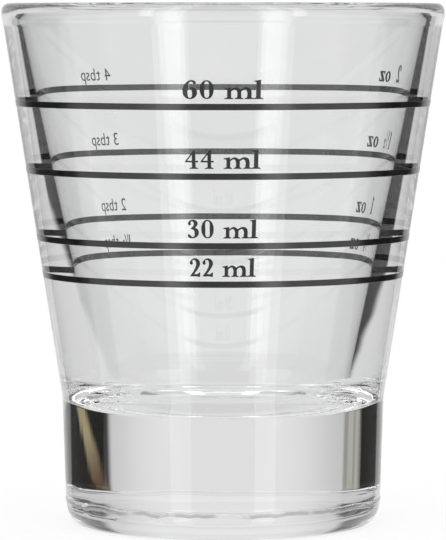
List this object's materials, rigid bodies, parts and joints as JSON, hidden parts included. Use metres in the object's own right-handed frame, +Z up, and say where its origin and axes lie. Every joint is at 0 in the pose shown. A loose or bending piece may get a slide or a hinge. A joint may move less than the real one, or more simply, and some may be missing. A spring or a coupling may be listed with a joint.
{
  "type": "espresso shot glass",
  "caption": "Thick-bottomed conical glass tumbler with printed measuring lines and scales in millilitres, ounces and spoons, for drawing an espresso to a set amount.",
  "frame": {"origin": "middle of the foot, on the surface that the glass stands on", "axes": "+Z up along the axis of the glass; -Y is the front, where the millilitre scale is printed; +X is to the right seen from the front"},
  "size_m": [0.0618, 0.0618, 0.0728],
  "materials": {
    "clear_glass": "clear polished pressed glass",
    "black_enamel": "fired black enamel print"
  },
  "bodies": {
    "root": {"glass_body": "clear_glass", "line_22ml": "black_enamel", "line_30ml": "black_enamel", "line_44ml": "black_enamel", "line_60ml": "black_enamel", "ml22_digit_tens_2": "black_enamel", "ml22_digit_units_2": "black_enamel", "ml22_unit_ml": "black_enamel", "ml30_digit_tens_3": "black_enamel", "ml30_digit_units_0": "black_enamel", "ml30_unit_ml": "black_enamel", "ml44_digit_tens_4": "black_enamel", "ml44_digit_units_4": "black_enamel", "ml44_unit_ml": "black_enamel", "ml60_digit_tens_6": "black_enamel", "ml60_digit_units_0": "black_enamel", "ml60_unit_ml": "black_enamel", "oz0_75_denominator_4": "black_enamel", "oz0_75_fraction_bar": "black_enamel", "oz0_75_numerator_3": "black_enamel", "oz0_75_unit_o": "black_enamel", "oz0_75_unit_z": "black_enamel", "oz1_5_denominator_2": "black_enamel", "oz1_5_digit_1": "black_enamel", "oz1_5_fraction_bar": "black_enamel", "oz1_5_numerator_1": "black_enamel", "oz1_5_unit_o": "black_enamel", "oz1_5_unit_z": "black_enamel", "oz1_digit_1": "black_enamel", "oz1_unit_o": "black_enamel", "oz1_unit_z": "black_enamel", "oz2_digit_2": "black_enamel", "oz2_unit_o": "black_enamel", "oz2_unit_z": "black_enamel", "tbsp1_5_denominator_2": "black_enamel", "tbsp1_5_digit_1": "black_enamel", "tbsp1_5_fraction_bar": "black_enamel", "tbsp1_5_numerator_1": "black_enamel", "tbsp1_5_unit_b": "black_enamel", "tbsp1_5_unit_p": "black_enamel", "tbsp1_5_unit_s": "black_enamel", "tbsp1_5_unit_t": "black_enamel", "tbsp2_digit_2": "black_enamel", "tbsp2_unit_b": "black_enamel", "tbsp2_unit_p": "black_enamel", "tbsp2_unit_s": "black_enamel", "tbsp2_unit_t": "black_enamel", "tbsp3_digit_3": "black_enamel", "tbsp3_unit_b": "black_enamel", "tbsp3_unit_p": "black_enamel", "tbsp3_unit_s": "black_enamel", "tbsp3_unit_t": "black_enamel", "tbsp4_digit_4": "black_enamel", "tbsp4_unit_b": "black_enamel", "tbsp4_unit_p": "black_enamel", "tbsp4_unit_s": "black_enamel", "tbsp4_unit_t": "black_enamel"}
  },
  "joints": []
}
